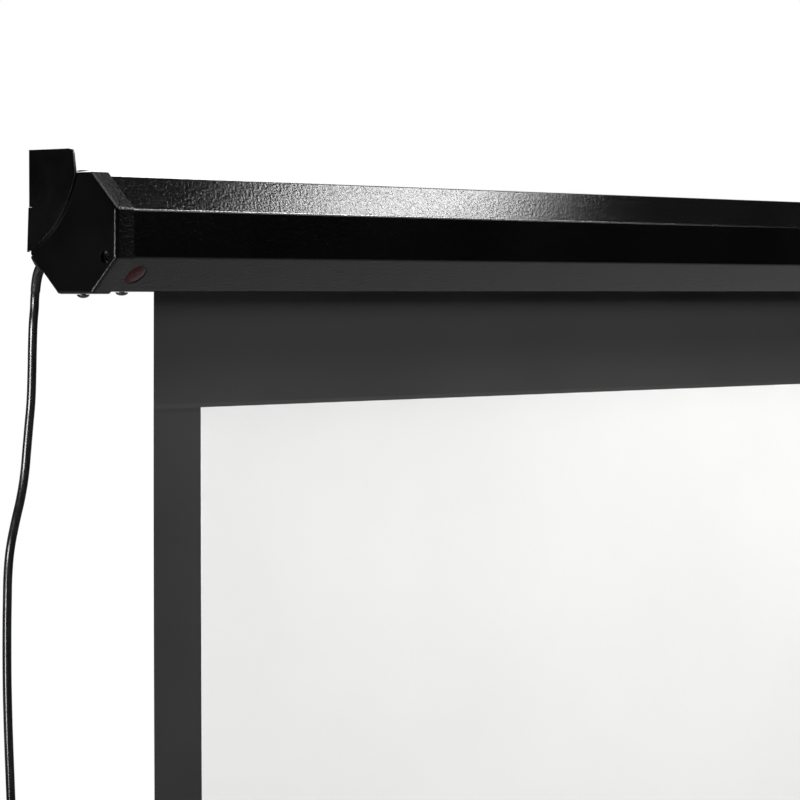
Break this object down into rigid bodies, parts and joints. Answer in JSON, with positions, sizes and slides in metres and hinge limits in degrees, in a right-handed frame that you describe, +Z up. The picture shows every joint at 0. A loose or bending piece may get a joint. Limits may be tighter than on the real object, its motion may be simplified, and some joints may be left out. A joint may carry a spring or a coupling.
{
  "type": "motorized projector screen",
  "caption": "Wall-mounted motorized projector screen: an octagonal black case on two brackets, a white picture area in black borders, a weight bar, a motor in the roller and a mains cord.",
  "frame": {"origin": "on the wall, midway between the two wall brackets, level with the seats of the wall screws", "axes": "+Z up, +X along the case towards its idler end, +Y into the wall; the viewer is on the -Y side"},
  "size_m": [2.528, 0.0885, 1.6637],
  "materials": {
    "black_powder_coat": "fine black powder coat",
    "black_cap_steel": "satin black paint",
    "black_bracket_steel": "satin black paint",
    "black_screw_steel": "black oxide",
    "zinc_steel": "zinc plated",
    "motor_shell": "dark paint",
    "grey_plastic": "moulded, matt",
    "pale_plastic": "moulded, natural",
    "black_plastic": "moulded, black",
    "red_lens": "dark red, clear to infrared light",
    "circuit_board": "solder mask",
    "picture_white": "matt white coated cloth",
    "black_fabric": "matt black coating",
    "black_aluminium": "black anodised",
    "black_rubber": "soft matt",
    "plug_brass": "plain"
  },
  "bodies": {
    "case_body": {"case": "black_powder_coat", "end_cap_left": "black_cap_steel", "end_cap_right": "black_cap_steel", "wall_bracket_left": "black_bracket_steel", "wall_bracket_right": "black_bracket_steel", "cap_screw_top_left": "black_screw_steel", "cap_screw_top_right": "black_screw_steel", "cap_screw_bottom_left": "black_screw_steel", "cap_screw_bottom_right": "black_screw_steel", "support_screw_left": "black_screw_steel", "support_screw_right": "black_screw_steel", "bracket_screw_upper_left": "zinc_steel", "bracket_screw_lower_left": "zinc_steel", "bracket_screw_upper_right": "zinc_steel", "bracket_screw_lower_right": "zinc_steel", "motor_support": "zinc_steel", "idler_support": "zinc_steel", "motor_screw_upper": "zinc_steel", "motor_screw_lower": "zinc_steel", "motor_tube": "motor_shell", "control_box": "grey_plastic", "idler_bush": "pale_plastic", "motor_head": "black_plastic", "infrared_window": "red_lens", "receiver_board": "circuit_board", "picture_area": "picture_white", "top_drop": "black_fabric", "side_border_left": "black_fabric", "side_border_right": "black_fabric", "bottom_border": "black_fabric", "strain_relief": "black_rubber", "mains_cord": "black_rubber", "plug": "black_rubber", "mains_lead": "black_rubber", "motor_lead": "black_rubber", "receiver_lead": "black_rubber", "plug_blade_left": "plug_brass", "plug_blade_right": "plug_brass", "plug_earth_pin": "plug_brass"},
    "bar_body": {"weight_bar": "black_aluminium", "keder_rod": "pale_plastic", "bar_cap_left": "black_rubber", "bar_cap_right": "black_rubber"},
    "roller_body": {"roller_tube": "zinc_steel", "fabric_wraps": "black_fabric", "crown_ring": "grey_plastic", "drive_wheel": "grey_plastic", "motor_shaft": "zinc_steel", "idler_plug": "grey_plastic", "idler_pin": "zinc_steel"},
    "limit_screw_up_body": {"limit_screw_up": "black_plastic"},
    "limit_screw_down_body": {"limit_screw_down": "black_plastic"}
  },
  "joints": [
    {"name": "bar_slide", "type": "slide", "parent": "case_body", "child": "bar_body", "axis": [0, 0, 1], "range_m": [0, 1.3736], "deforming": ["top_drop", "picture_area", "side_border_left", "side_border_right", "bottom_border"]},
    {"name": "roller_turn", "type": "hinge", "parent": "case_body", "child": "roller_body", "pos_m": [0, -0.05825, -0.046], "axis": [1, 0, 0], "range_deg": [0, 3350]},
    {"name": "limit_up_turn", "type": "hinge", "parent": "case_body", "child": "limit_screw_up_body", "pos_m": [-1.2399, -0.0794, -0.0625], "axis": [1, 0, 0], "range_deg": [-1080, 1080]},
    {"name": "limit_down_turn", "type": "hinge", "parent": "case_body", "child": "limit_screw_down_body", "pos_m": [-1.2399, -0.0746, -0.0625], "axis": [1, 0, 0], "range_deg": [-1080, 1080]}
  ],
  "couplings": [
    {"joint": "roller_turn", "follows": "bar_slide", "rad_per_m": 42.5}
  ]
}
